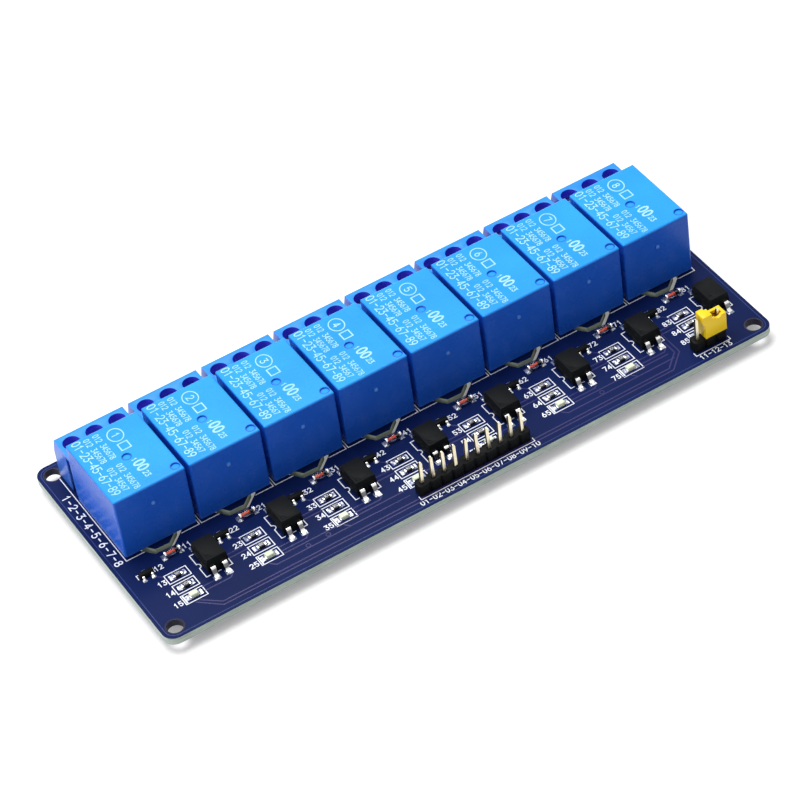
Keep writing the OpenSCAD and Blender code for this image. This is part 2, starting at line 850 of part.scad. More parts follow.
module transistor_lead_pocket(x, side) {
    translate([x, side * transistor_d / 2, transistor_lead_z])
        cube([small_lead_w, 2 * small_lead_in, small_lead_t], center = true);
}

module transistor_wing() {
    translate([-small_lead_w / 2, 0, 0]) rotate([90, 0, 90]) linear_extrude(small_lead_w)
        gull_wing(transistor_d / 2 - small_lead_in, small_reach + small_lead_in,
                  transistor_lift + transistor_lead_z - pad_t, small_lead_t, 0.3);
}

module transistor_leads() {
    color("#e4e2dc") in_each_channel() translate(concat(transistor_at, pad_t)) {
        transistor_wing();
        for (sx = [-1, 1]) translate([sx * small_lead_pitch, 0, 0]) rotate(180) transistor_wing();
    }
}

module diode_bodies() {
    glass_l = diode_l - 2 * end_cap_l;
    color("#c2472c") in_each_channel()
        translate([-glass_l / 2, diode_y, pad_t + diode_d / 2]) rotate([0, 90, 0])
            cylinder(d = diode_d - 0.1, h = glass_l);
}

module chip_end(h) {
    for (sx = [-1, 1]) translate([sx * (chip_l - end_cap_l) / 2, 0, h / 2])
        cube([end_cap_l, chip_w, h], center = true);
}

module chip_end_caps() {
    color("#dcdcd8") in_each_channel() {
        for (sx = [-1, 1])
            translate([sx * (diode_l - end_cap_l) / 2, diode_y, pad_t + diode_d / 2])
                rotate([0, 90, 0]) cylinder(d = diode_d, h = end_cap_l, center = true);
        for (k = [0, 1]) translate([chip_x, chip_row_y[k], pad_t]) chip_end(chip_h);
        translate([chip_x, chip_row_y[2], pad_t]) chip_end(led_base_t);
    }
}

module resistor_bodies() {
    color("#2a2a2e") in_each_channel() for (k = [0, 1])
        translate([chip_x, chip_row_y[k], pad_t + chip_h / 2])
            cube([chip_l - 2 * end_cap_l, chip_w, chip_h], center = true);
}

module led_bodies() {
    color("#f4f5e2") in_each_channel() translate([chip_x, chip_row_y[2], pad_t]) union() {
        translate([0, 0, led_base_t / 2])
            cube([chip_l - 2 * end_cap_l, chip_w, led_base_t], center = true);
        translate([0, 0, led_base_t]) linear_extrude(led_h - led_base_t)
            rounded_rect(chip_l - led_ledge, chip_w, 0.12);
    }
}

// ---------- headers and jumper ----------

// one moulded strip with a V notch between neighbouring pins, about its middle
module header_strip(count) {
    w = count * pin_pitch;
    difference() {
        translate([-w / 2, -strip_w / 2, 0]) cube([w, strip_w, strip_h]);
        for (k = [0:count]) for (sy = [-1, 1])
            translate([-w / 2 + k * pin_pitch, sy * strip_w / 2, -1]) rotate(45)
                translate([-notch / 2, -notch / 2, 0]) cube([notch, notch, strip_h + 2]);
        for (k = [1:count]) translate([header_pin_x(k, count, 0), 0, strip_h / 2])
            cube([pin_w + 2 * eps, pin_w + 2 * eps, strip_h + 2], center = true);
    }
}

module header_strips() {
    color("#17181a") {
        translate([input_header_x, header_y, board_t]) header_strip(input_pins);
        translate([power_header_x, header_y, board_t]) header_strip(power_pins);
    }
}

// a square pin with a pointed tip, leaning a little where it leaves the plastic
module header_pin(lean_x, lean_y) {
    sunk = 0.05;
    tip = 0.35;
    top = pin_above + sunk;
    outline = [[-pin_w / 2, 0], [pin_w / 2, 0], [pin_w / 2, top - tip], [pin_w / 4, top],
               [-pin_w / 4, top], [-pin_w / 2, top - tip]];
    pin_lead();
    translate([-pin_w / 2, -pin_w / 2, -eps]) cube([pin_w, pin_w, strip_h + eps]);
    translate([0, 0, strip_h - sunk]) rotate([lean_x, lean_y, 0]) intersection() {
        strip_profile(outline, pin_w);
        rotate([0, 0, 90]) strip_profile(outline, pin_w);
    }
}

module header_pins() {
    color("#e6dfc0") {
        for (k = [1:input_pins])
            translate([header_pin_x(k, input_pins, input_header_x), header_y, board_t])
                header_pin(pin_lean * sin(150 * k + 20), pin_lean * sin(97 * k));
        at_power_pins() header_pin(0, 0);
    }
}

jumper_x = power_header_x + pin_pitch / 2;
jumper_l = 2 * pin_pitch - 0.1;
jumper_z = board_t + strip_h + fit_gap;
grip = pin_w / 2 + clip_gap;
clip_half = pin_pitch / 2 + grip + clip_t;
tab_h = pin_above + tab_gap + 0.3;

// cap over two pins: a raised tab closes it over the first, the second shows in its mouth
module jumper_shell() {
    mouth_x = -jumper_l / 2 + tab_l;
    mouth_w = clip_half + clip_gap;
    color("#f0c62c") translate([jumper_x, header_y, jumper_z]) difference() {
        union() {
            translate([-jumper_l / 2, -jumper_w / 2, 0]) cube([jumper_l, jumper_w, jumper_h]);
            translate([-jumper_l / 2, -jumper_w / 2, 0]) cube([tab_l, jumper_w, tab_h]);
        }
        translate([-clip_half - clip_gap, -clip_w / 2 - clip_gap, -1])
            cube([2 * (clip_half + clip_gap), clip_w + 2 * clip_gap, clip_z[1] + clip_gap + 1]);
        translate([-pin_pitch / 2 - grip, -grip, 0])
            cube([2 * grip, 2 * grip, pin_above + tab_gap]);
        translate([mouth_x, -clip_w / 2 - clip_gap, 1])
            cube([mouth_w - mouth_x, clip_w + 2 * clip_gap, jumper_h]);
        translate([mouth_x - 0.55, jumper_w / 2 - 0.6, jumper_h]) cube([1, 1, tab_h]);
    }
}

// brass clip: four leaves that grip the two pins, hung from one bridge
module jumper_clip() {
    leaf_h = clip_z[1] - clip_z[0];
    color("#d6a94a") translate([jumper_x, header_y, jumper_z + clip_z[0]]) difference() {
        union() {
            for (sx = [-1, 1]) for (side = [-1, 1])
                translate([sx * pin_pitch / 2 + side * (grip + clip_t / 2) - clip_t / 2,
                           -clip_w / 2, 0])
                    cube([clip_t, clip_w, leaf_h]);
            translate([-clip_half, -clip_w / 2, leaf_h - clip_t])
                cube([2 * clip_half, clip_w, clip_t]);
        }
        for (sx = [-1, 1]) translate([sx * pin_pitch / 2 - grip, -grip, -1])
            cube([2 * grip, 2 * grip, leaf_h + 2]);
    }
}

// ---------- nodes ----------

circuit_board();
silkscreen();
solder_pads();
solder_joints();
relay_covers();
cover_print();
relay_bases();
coil_bobbins();
coil_windings();
relay_cores();
relay_yokes();
relay_pins();
terminal_housings();
terminal_cages();
terminal_legs();
optocoupler_bodies();
optocoupler_leads();
transistor_bodies();
transistor_leads();
diode_bodies();
chip_end_caps();
resistor_bodies();
led_bodies();
header_strips();
header_pins();
jumper_shell();
jumper_clip();
for (c = [1:channels])
    armature(c);
for (c = [1:channels]) for (w = [1:ways])
    terminal_screw(c, w);
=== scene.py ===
import json
import math

import bmesh
import bpy
from mathutils import Matrix, Vector


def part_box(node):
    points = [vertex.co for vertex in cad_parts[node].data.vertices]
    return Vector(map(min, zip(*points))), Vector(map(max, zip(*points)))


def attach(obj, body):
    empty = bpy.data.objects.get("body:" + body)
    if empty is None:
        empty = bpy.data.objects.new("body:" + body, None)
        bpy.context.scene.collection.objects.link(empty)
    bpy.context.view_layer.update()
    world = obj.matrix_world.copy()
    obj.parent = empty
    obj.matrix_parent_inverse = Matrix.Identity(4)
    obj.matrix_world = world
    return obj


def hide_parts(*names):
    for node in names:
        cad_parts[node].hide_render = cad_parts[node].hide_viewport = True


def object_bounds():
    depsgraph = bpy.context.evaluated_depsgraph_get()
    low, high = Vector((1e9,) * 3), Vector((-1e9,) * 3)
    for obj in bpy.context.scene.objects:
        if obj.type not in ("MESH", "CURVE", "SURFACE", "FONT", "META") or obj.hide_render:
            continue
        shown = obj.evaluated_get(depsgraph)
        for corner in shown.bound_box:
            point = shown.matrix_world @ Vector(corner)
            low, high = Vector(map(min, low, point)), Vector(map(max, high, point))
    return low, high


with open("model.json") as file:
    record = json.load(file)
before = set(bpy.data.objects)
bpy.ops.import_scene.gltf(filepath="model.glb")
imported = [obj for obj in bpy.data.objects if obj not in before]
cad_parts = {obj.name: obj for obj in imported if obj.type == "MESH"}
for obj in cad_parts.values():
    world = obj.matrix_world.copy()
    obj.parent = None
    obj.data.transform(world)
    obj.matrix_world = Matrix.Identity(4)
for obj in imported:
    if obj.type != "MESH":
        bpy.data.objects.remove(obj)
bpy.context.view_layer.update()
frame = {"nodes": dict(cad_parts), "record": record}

MM = 0.001
CHANNELS, WAYS = 8, 3
INPUT_PINS, POWER_PINS, PIN_PITCH = 10, 3, 2.54
GATE_PROUD = 0.15       # the mark on each relay's front stands out by this
WELL_R = 1.8            # the round wells over the clamp screws
scene = bpy.context.scene


# ---------------------------------------------------------------- places, from the frame
def span(node):
    """Lowest and highest corners of a CAD node, in millimetres."""
    low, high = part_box(node)
    return low / MM, high / MM


def centre(node):
    low, high = span(node)
    return (low + high) / 2


def in_channel(node):
    """Low corner, middle and high corner of a driver part in its channel: from the
    channel's middle, its relay's front and the board's top."""
    low, high = span(node)
    low -= Vector((CHANNEL_X[0], RELAY_Y, TOP))
    high -= Vector((CHANNEL_X[-1], RELAY_Y, TOP))
    return [tuple(round(v, 4) for v in corner) for corner in (low, (low + high) / 2, high)]


MOUNTS = {m["name"]: m for m in frame["record"]["mounts"]}
BOARD_LOW, BOARD_HIGH = span("circuit_board")
TOP, UNDER = BOARD_HIGH.z, BOARD_LOW.z
CHANNEL_X = [centre(f"armature_{c}").x for c in range(1, CHANNELS + 1)]
RELAY_Y = span("relay_covers")[0].y + GATE_PROUD
RELAY_L = span("relay_covers")[1].y - RELAY_Y
RELAY_W = 2 * (span("relay_covers")[1].x - CHANNEL_X[-1])
RELAY_TOP = span("relay_covers")[1].z
HEADER_Y = centre("header_strips").y
INPUT_X = MOUNTS["input_header"]["pos_m"][0] / MM
POWER_X = MOUNTS["power_header"]["pos_m"][0] / MM
WELLS = [centre(f"terminal_screw_{c}_{w}") for c in range(1, CHANNELS + 1)
         for w in range(1, WAYS + 1)]
TERMINAL_TOP = span("terminal_housings")[1].z
HOLE_X, HOLE_Y = (MOUNTS["mounting_holes"]["dims"][k] / 2
                  for k in ("spacing_x_mm", "spacing_y_mm"))
HOLE_R = MOUNTS["mounting_holes"]["dims"]["hole_r_mm"]
FLOOR_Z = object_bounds()[0].z
INK, PAD = (round(span(node)[1].z - TOP, 4) for node in ("silkscreen", "solder_pads"))
caps_low, _, caps_high = in_channel("chip_end_caps")
DIODE_Y = in_channel("diode_bodies")[1][1]
DIODE_L, DIODE_R = 2 * caps_high[0], (caps_high[2] - PAD) / 2
TRANSISTOR = in_channel("transistor_bodies")[1]
opto_low, OPTO, opto_high = in_channel("optocoupler_bodies")
OPTO_L, OPTO_PITCH = opto_high[1] - opto_low[1], PIN_PITCH
lamp_low, (CHIP_X, lamp_y, _), lamp_high = in_channel("led_bodies")
glaze_low, _, glaze_high = in_channel("resistor_bodies")
half_chip = (lamp_high[1] - lamp_low[1]) / 2
CHIP_Y = (glaze_high[1] - half_chip, glaze_low[1] + half_chip, lamp_y)
CHIP_L = 2 * (CHIP_X - caps_low[0])


# ---------------------------------------------------------------- materials
def srgb(r, g, b):
    def lin(v):
        v /= 255
        return v / 12.92 if v <= 0.04045 else ((v + 0.055) / 1.055) ** 2.4

    return (lin(r), lin(g), lin(b), 1)


class Nodes:
    """A material's node tree with short ways to add and join nodes."""

    def __init__(self, name):
        self.material = bpy.data.materials.new(name)
        self.material.use_nodes = True
        self.tree = self.material.node_tree
        self.shader = self.tree.nodes["Principled BSDF"]
        self.coords = self.tree.nodes.new("ShaderNodeTexCoord").outputs["Object"]

    def add(self, kind, **values):
        node = self.tree.nodes.new(kind)
        for key, value in values.items():
            setattr(node, key, value)
        return node

    def link(self, a, b):
        self.tree.links.new(a, b)

    def noise(self, per_mm, detail=3.0, rough=0.55, stretch=(1, 1, 1)):
        mapping = self.add("ShaderNodeMapping")
        mapping.inputs["Scale"].default_value = [s * per_mm / MM for s in stretch]
        noise = self.add("ShaderNodeTexNoise")
        noise.inputs["Scale"].default_value = 1
        noise.inputs["Detail"].default_value = detail
        noise.inputs["Roughness"].default_value = rough
        self.link(self.coords, mapping.inputs["Vector"])
        self.link(mapping.outputs["Vector"], noise.inputs["Vector"])
        return noise.outputs["Fac"]

    def spread(self, fac, low, high, start=0.3, end=0.7):
        ranged = self.add("ShaderNodeMapRange")
        for socket, value in (("From Min", start), ("From Max", end), ("To Min", low),
                              ("To Max", high)):
            ranged.inputs[socket].default_value = value
        self.link(fac, ranged.inputs["Value"])
        return ranged.outputs["Result"]

    def mix(self, fac, a, b):
        mix = self.add("ShaderNodeMix", data_type="RGBA")
        self.link(fac, mix.inputs["Factor"])
        for socket, value in ((mix.inputs[6], a), (mix.inputs[7], b)):
            if isinstance(value, tuple):
                socket.default_value = value
            else:
                self.link(value, socket)
        return mix.outputs[2]

    def math(self, kind, a, b):
        node = self.add("ShaderNodeMath", operation=kind)
        for socket, value in zip(node.inputs, (a, b)):
            if isinstance(value, (int, float)):
                socket.default_value = value
            else:
                self.link(value, socket)
        return node.outputs[0]

    def bump(self, height, depth_mm, strength):
        bump = self.add("ShaderNodeBump")
        bump.inputs["Distance"].default_value = depth_mm * MM
        bump.inputs["Strength"].default_value = strength
        self.link(height, bump.inputs["Height"])
        self.link(bump.outputs["Normal"], self.shader.inputs["Normal"])

    def axis(self, name):
        split = self.add("ShaderNodeSeparateXYZ")
        self.link(self.coords, split.inputs["Vector"])
        return split.outputs[name]

    def normal(self, name):
        geometry = self.add("ShaderNodeNewGeometry")
        split = self.add("ShaderNodeSeparateXYZ")
        self.link(geometry.outputs["True Normal"], split.inputs["Vector"])
        return split.outputs[name]

    def facing_up(self):
        """1 on surfaces that face up, 0 on upright and lower ones."""
        return self.spread(self.normal("Z"), 0, 1, 0.25, 0.85)

    def colour(self, socket):
        self.link(socket, self.shader.inputs["Base Color"])

    def rough(self, socket):
        self.link(socket, self.shader.inputs["Roughness"])

    def set(self, **values):
        for key, value in values.items():
            self.shader.inputs[key.replace("_", " ")].default_value = value


def plastic(name, light, dark, rough=(0.3, 0.4), grain=1.5, bump_mm=0.004, specular=0.3):
    """Moulded or printed: two close tones in soft patches, with a fine grain."""
    n = Nodes(name)
    n.colour(n.mix(n.spread(n.noise(0.12), 0, 1), dark, light))
    n.rough(n.spread(n.noise(0.4, 5), *rough))
    n.bump(n.noise(grain, 4), bump_mm, 0.5)
    n.set(Specular_IOR_Level=specular)
    return n.material


def metal(name, light, dark, rough=(0.2, 0.38)):
    n = Nodes(name)
    n.colour(n.mix(n.spread(n.noise(0.5, 4), 0, 1), dark, light))
    n.rough(n.spread(n.noise(0.9, 5), *rough))
    n.bump(n.noise(1.2, 3), 0.004, 0.5)
    n.set(Metallic=1.0)
    return n.material


def laminate_colour(n, light=(196, 208, 200), dark=(150, 163, 155)):
    """Pressed glass-fibre layers, seen on the board's milled edges."""
    layers = n.noise(0.5, 4, 0.6, (0.5, 0.5, 9))
    return n.mix(n.spread(layers, 0, 1), srgb(*dark), srgb(*light))


def board_material():
    """Solder mask on the faces, glass-fibre laminate on the edges, and a paler laminate on the slot
    walls, painted light against their shade.
    """
    n = Nodes("solder_mask_and_laminate")
    flat = n.spread(n.math("ABSOLUTE", n.normal("Z"), 0), 0, 1, 0.4, 0.6)
    mask = n.mix(n.spread(n.noise(0.05, 2), 0, 1), srgb(13, 27, 72), srgb(17, 33, 84))
    depth = n.math("MINIMUM", *(n.math("SUBTRACT", half * MM, n.math("ABSOLUTE", n.axis(a), 0))
                                for a, half in (("X", BOARD_HIGH.x), ("Y", BOARD_HIGH.y))))
    # painted light: away from the outline, the slot walls take a paler laminate than the board's
    # outer edges
    painted_light_slot_walls = laminate_colour(n, (214, 224, 204), (176, 188, 168))
    milled = n.mix(n.spread(depth, 0, 1, 2 * MM, 3 * MM), laminate_colour(n), painted_light_slot_walls)
    n.colour(n.mix(flat, milled, mask))
    rough = n.add("ShaderNodeMix")
    n.link(flat, rough.inputs["Factor"])
    rough.inputs[2].default_value = 0.62
    n.link(n.spread(n.noise(0.3, 4), 0.28, 0.36), rough.inputs[3])
    n.rough(rough.outputs[0])
    n.bump(n.noise(0.5, 2), 0.004, 0.35)
    n.set(Specular_IOR_Level=0.06)
    return n.material


def solder_material():
    """Bright metal with painted reflections: dark blue patches in its colour stand in for what it
    mirrors.
    """
    n = Nodes("solder_painted_reflections")
    # painted reflection: noise patches of dark blue among the bright metal
    n.colour(n.mix(n.spread(n.noise(1.1, 2), 0, 1, 0.44, 0.56), (0.22, 0.25, 0.34, 1),
                   (0.92, 0.92, 0.94, 1)))
    n.rough(n.spread(n.noise(0.9, 4), 0.26, 0.38))
    n.bump(n.noise(0.9, 2), 0.02, 0.4)
    n.set(Metallic=0.8)
    return n.material


def pin_material():
    """Plated pins, with the two sides that face along X painted darker as shade."""
    n = Nodes("gold_flash_pin")
    pin_tone = n.mix(n.spread(n.noise(0.5, 4), 0, 1), srgb(226, 216, 186), srgb(242, 234, 210))
    painted_shade_sides = n.spread(n.math("ABSOLUTE", n.normal("X"), 0), 0, 1, 0.6, 0.85)
    # painted shade: faces turned along X take the dark colour
    n.colour(n.mix(painted_shade_sides, pin_tone, srgb(112, 98, 72)))
    n.rough(n.spread(n.noise(0.9, 4), 0.3, 0.4))
    n.bump(n.noise(0.4, 3), 0.002, 0.5)
    n.set(Metallic=0.85)
    return n.material


def two_tone(name, top, side, rough, specular, patch, grain, depth, strength):
    """Glossy blue plastic, with painted light: paler where it faces up, as if lit from above."""
    n = Nodes(name)
    patches = n.spread(n.noise(patch, 2), 0, 1)
    # painted light: faces that look up take the paler top colours, the rest take the side colours
    n.colour(n.mix(n.facing_up(), n.mix(patches, *side), n.mix(patches, *top)))
    n.rough(n.spread(n.noise(0.3, 3), *rough))
    n.bump(n.noise(grain, 2), depth, strength)
    n.set(Specular_IOR_Level=specular)
    return n.material


def glass_material():
    n = Nodes("diode_glass_clear")
    n.colour(n.mix(n.spread(n.noise(0.8, 2), 0, 1), (1.0, 0.90, 0.86, 1), (1.0, 0.95, 0.92, 1)))
    n.rough(n.spread(n.noise(0.6, 2), 0.02, 0.06))
    n.set(Transmission_Weight=1.0, IOR=1.45)
    return n.material


M = {
    "circuit_board": board_material(),
    "copper_lines": plastic("mask_over_copper", srgb(46, 42, 102), srgb(36, 34, 88),
                            (0.25, 0.32)),
    "copper_edges": plastic("mask_over_pour_edge", srgb(34, 60, 128), srgb(28, 50, 116),
                            (0.25, 0.32)),
    "silkscreen": plastic("white_ink", srgb(250, 251, 255), srgb(236, 240, 250), (0.45, 0.6),
                          3, 0.003),
    "solder": solder_material(),
    "relay_covers": two_tone("relay_cover_blue", (srgb(34, 150, 240), srgb(42, 162, 244)),
                             (srgb(28, 89, 198), srgb(32, 95, 208)), (0.24, 0.30), 0.2,
                             patch=0.07, grain=0.12, depth=0.02, strength=0.25),
    "cover_print": plastic("pale_print", srgb(176, 224, 252), srgb(150, 212, 250), (0.5, 0.6),
                           3, 0.003),
    "relay_bases": plastic("relay_base_blue", srgb(24, 32, 110), srgb(18, 24, 90)),
    "coil_bobbins": plastic("bobbin_plastic", srgb(232, 226, 206), srgb(214, 206, 184)),
    "coil_windings": metal("enamelled_copper", srgb(190, 96, 44), srgb(140, 62, 26)),
    "iron": metal("soft_iron", srgb(168, 170, 172), srgb(128, 130, 132), (0.35, 0.5)),
    "tinned_brass": metal("tinned_brass_blade", srgb(214, 208, 190), srgb(182, 174, 152)),
    "terminal_housings": two_tone("terminal_blue", (srgb(44, 140, 238), srgb(54, 152, 244)),
                                  (srgb(54, 104, 204), srgb(60, 114, 214)), (0.28, 0.36), 0.18,
                                  patch=0.08, grain=0.3, depth=0.008, strength=0.3),
    # painted shade: the darker, more violet walls inside the terminals' wells
    "well": plastic("terminal_well_blue", srgb(70, 70, 214), srgb(52, 54, 190), (0.25, 0.35)),
    "plated_steel": metal("plated_steel_screw", srgb(206, 208, 212), srgb(160, 164, 170)),
    "black_epoxy": plastic("black_epoxy", srgb(20, 22, 23), srgb(15, 17, 18), (0.45, 0.58), 3,
                           0.006, 0.07),
    "tinned_lead": metal("tinned_lead_bright", (0.92, 0.91, 0.89, 1), (0.74, 0.74, 0.74, 1),
                         (0.14, 0.28)),
    "lead_shade": metal("tinned_lead_in_shade", (0.30, 0.30, 0.29, 1), (0.2, 0.2, 0.2, 1),
                        (0.2, 0.32)),
    "diode_glass": glass_material(),
    "diode_slug": plastic("diode_slug_red", srgb(236, 84, 50), srgb(206, 52, 32), (0.2, 0.3),
                          specular=0.5),
    "diode_band": plastic("diode_band_black", srgb(26, 24, 24), srgb(16, 15, 15)),
    "resistor": plastic("resistor_glaze", srgb(40, 40, 42), srgb(28, 28, 30), (0.25, 0.35),
                        specular=0.2),
    "lamp": plastic("lamp_resin", srgb(238, 244, 222), srgb(214, 228, 196), (0.12, 0.22)),
    "header_strips": plastic("black_nylon", srgb(19, 20, 21), srgb(14, 15, 16), (0.42, 0.54), 3,
                             0.006, 0.08),
    "gold_flash": pin_material(),
    "jumper_shell": plastic("jumper_yellow", srgb(255, 218, 28), srgb(246, 202, 16),
                            (0.28, 0.4)),
    "clip_brass": metal("clip_brass", srgb(150, 98, 44), srgb(96, 52, 20)),
    # painted highlight on each relay's gate mark
    "gate_painted_highlight": plastic("cover_gate_painted_highlight", srgb(120, 164, 236), srgb(86, 132, 222),
                         (0.4, 0.5)),
    # painted shade round the covers' round recesses
    "dimple_painted_shade": plastic("cover_dimple_painted_shade", srgb(10, 78, 186), srgb(14, 88, 196)),
    # dark ring at the holes' mask edge, and painted shade down their walls
    "hole_ring_painted_shade": plastic("dark_hole_ring_and_shade", srgb(46, 42, 66), srgb(30, 28, 48), (0.4, 0.5),
                           specular=0.2),
}
SAME = {"solder_pads": "solder", "solder_joints": "solder", "relay_cores": "iron",
        "relay_yokes": "iron", "relay_pins": "tinned_brass", "terminal_cages": "plated_steel",
        "terminal_legs": "tinned_brass", "optocoupler_bodies": "black_epoxy",
        "optocoupler_leads": "tinned_lead", "transistor_bodies": "black_epoxy",
        "transistor_leads": "tinned_lead", "diode_bodies": "diode_glass",
        "chip_end_caps": "tinned_lead", "resistor_bodies": "resistor", "led_bodies": "lamp",
        "header_pins": "gold_flash", "jumper_clip": "clip_brass"}
SLOTS = {s["node"]: s["material_slot"] for s in frame["record"]["subparts"]}


def key_of(node):
    if node.startswith("armature_"):
        return "iron"
    if node.startswith("terminal_screw_"):
        return "plated_steel"
    return node if node in M else SAME[node]


for node, thing in frame["nodes"].items():
    thing.data.materials.clear()
    thing.data.materials.append(M[key_of(node)])


# ---------------------------------------------------------------- mesh helpers
def settle(name, bm, kinds, slot, body="board", hides=(), smooth=35):
    """Makes a piece of the object from a bmesh in metres; smooth is in degrees."""
    bmesh.ops.recalc_face_normals(bm, faces=bm.faces)
    mesh = bpy.data.meshes.new(name)
    bm.to_mesh(mesh)
    bm.free()
    for kind in kinds:
        mesh.materials.append(M[kind])
    mesh.shade_smooth()
    mesh.set_sharp_from_angle(angle=math.radians(smooth))
    thing = bpy.data.objects.new(name, mesh)
    scene.collection.objects.link(thing)
    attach(thing, body)
    if hides:
        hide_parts(*hides)


class Shape:
    """Faces collected in millimetres, each with a material number."""

    def __init__(self):
        self.verts, self.faces, self.kinds, self.kind, self.lines = [], [], [], 0, 0

    def face(self, *corners):
        self.faces.append(corners)
        self.kinds.append(self.kind)

    def rings(self, rings, loop=False):
        """Joins closed rings of equally many points, to a tube with ends or to a loop."""
        start, n, count = len(self.verts), len(rings[0]), len(rings)
        for ring in rings:
            self.verts.extend(Vector(p) for p in ring)
        for k in range(count if loop else count - 1):
            a, b = start + k * n, start + (k + 1) % count * n
            for j in range(n):
                i = (j + 1) % n
                self.face(a + j, a + i, b + i, b + j)
        if not loop:
            self.face(*range(start, start + n))
            self.face(*range(start + (count - 1) * n, start + count * n))

    def lathe(self, profile, place, along, sides, loop=False):
        """Turns a profile of (radius, distance) about a line through place."""
        rings = []
        for r, d in profile:
            ring = []
            for k in range(sides):
                a = 2 * math.pi * k / sides
                u, v = r * math.cos(a), r * math.sin(a)
                ring.append(Vector(place) + Vector((u, v, d) if along == "Z" else (d, u, v)))
            rings.append(ring)
        self.rings(rings, loop)

    def ribbon(self, path, width, z, lift, closed=False):
        """A low flat line along a path, with soft edges and round ends."""
        self.lines += 1
        lift *= 1 - 0.045 * (self.lines % 11)       # keeps crossing lines off one level
        pts = [Vector(p) for p in path]
        n, sections = len(pts), []
        for k in range(n):
            before = pts[k] - pts[k - 1] if k or closed else pts[1] - pts[0]
            after = pts[(k + 1) % n] - pts[k] if k < n - 1 or closed else before
            a, b = (Vector((-d.y, d.x)).normalized() for d in (before, after))
            side = (a + b).normalized() if (a + b).length > 0.2 else a
            sections.append((pts[k], side / max(side.dot(a), 0.45), 1))
        if not closed:
            for end in (0, -1):
                out = (pts[end] - pts[1 if end == 0 else -2]).normalized() * width / 2
                more = [(pts[end] + out * math.sin(math.radians(t)), sections[end][1],
                         math.cos(math.radians(t))) for t in (40, 75)]
                sections = more[::-1] + sections if end == 0 else sections + more
        rings = []
        for p, side, size in sections:
            s = side * width / 2 * size
            rings.append([(p.x + s.x * f, p.y + s.y * f, z + h)
                          for f, h in ((1, 0), (0.85, lift), (-0.85, lift), (-1, 0))])
        self.rings(rings, closed)

    def write(self, text, at, height, width, weight, z, turn=0, pitch=None):
        """Plain figures in one-stroke lines, about their middle."""
        pitch = pitch or width * 1.45
        a = math.radians(turn)
        for k, sign in enumerate(text):
            for stroke in FIGURES.get(sign, ()):
                path = []
                for u, v in stroke:
                    x = (k - (len(text) - 1) / 2) * pitch + (u - 0.5) * width
                    y = (v - 0.5) * height
                    path.append((at[0] + x * math.cos(a) - y * math.sin(a),
                                 at[1] + x * math.sin(a) + y * math.cos(a)))
                loop = (Vector(path[0]) - Vector(path[-1])).length < weight / 4
                self.ribbon(path[:-1] if loop else path, weight, z, INK * 0.7, closed=loop)

    def strip(self, path, widths, thick, put, shaded):
        """A bent metal strip along a path of (reach, height); put turns it into its place,
        and the stretches numbered in shaded take the second material."""
        pts = [Vector(p) for p in path]
        rings = []
        for k, p in enumerate(pts):
            run = (pts[min(k + 1, len(pts) - 1)] - pts[max(k - 1, 0)]).normalized()
            off = Vector((-run.y, run.x)) * thick / 2
            half = widths[k] / 2
            rings.append([put(sx * half, p.x + s * off.x, p.y + s * off.y)
                          for sx, s in ((-1, -1), (1, -1), (1, 1), (-1, 1))])
        first = len(self.kinds)
        self.rings(rings)
        for k in shaded:
            self.kinds[first + 4 * k:first + 4 * k + 4] = [1] * 4

    def blob(self, x, y, z, half_x, half_y, height, lean):
        """A low mound of solder with a rounded outline, its top moved along Y by lean."""
        def squarish(v):
            return math.copysign(abs(v) ** 0.8, v)

        rings = []
        for r in (1, 0.97, 0.88, 0.74, 0.55, 0.33, 0.12):
            ring = []
            for k in range(20):
                a = 2 * math.pi * k / 20
                ring.append((x + squarish(math.cos(a)) * half_x * r,
                             y + lean * (1 - r) + squarish(math.sin(a)) * half_y * r,
                             z + height * (1 - r ** 2.4) ** 0.8))
            rings.append(ring)
        self.rings(rings)

    def fillet(self, x, y, z, way, length, width, height):
        """Solder that slopes from a part's end down to its pad, along way."""
        way = Vector(way).normalized()
        side = Vector((-way.y, way.x))
        rings = []
        for t in (0, 0.2, 0.4, 0.6, 0.8, 1):
            h = height * (1 - t) ** 2.6 + 0.05
            half = width / 2 * (0.88 + 0.12 * math.sin(math.pi * min(t + 0.2, 1)))
            p = Vector((x, y)) + way * length * t
            rings.append([(p.x + side.x * half * f, p.y + side.y * half * f, z + h * g)
                          for f, g in ((-1, 0), (-0.94, 0.5), (-0.6, 0.88), (0, 1), (0.6, 0.88),
                                       (0.94, 0.5), (1, 0))])
        self.rings(rings)

    def piece(self, name, kinds, slot, hides=(), smooth=35):
        bm = bmesh.new()
        corners = [bm.verts.new(v * MM) for v in self.verts]
        for face, kind in zip(self.faces, self.kinds):
            bm.faces.new([corners[i] for i in face]).material_index = kind
        settle(name, bm, kinds, slot, hides=hides, smooth=smooth)


def softened(node, width, body="board", kinds=None, pick=None, shape=None):
    """A CAD node's shape again, with its sharp edges rounded over width millimetres.
    shape may alter it first, and pick gives each face its material's number."""
    bm = bmesh.new()
    bm.from_mesh(frame["nodes"][node].data)
    bmesh.ops.remove_doubles(bm, verts=bm.verts, dist=1e-7)
    bmesh.ops.dissolve_limit(bm, angle_limit=math.radians(1), verts=bm.verts, edges=bm.edges)
    if shape:
        shape(bm)
    edges = [e for e in bm.edges if len(e.link_faces) == 2
             and e.calc_face_angle(0) > math.radians(30)]
    bmesh.ops.bevel(bm, geom=edges, offset=width * MM, offset_type="OFFSET", segments=2,
                    profile=0.5, affect="EDGES", clamp_overlap=True)
    for face in bm.faces:
        face.material_index = pick(face) if pick else 0
    settle(node + "_rounded", bm, kinds or [key_of(node)], SLOTS[node], body, [node])


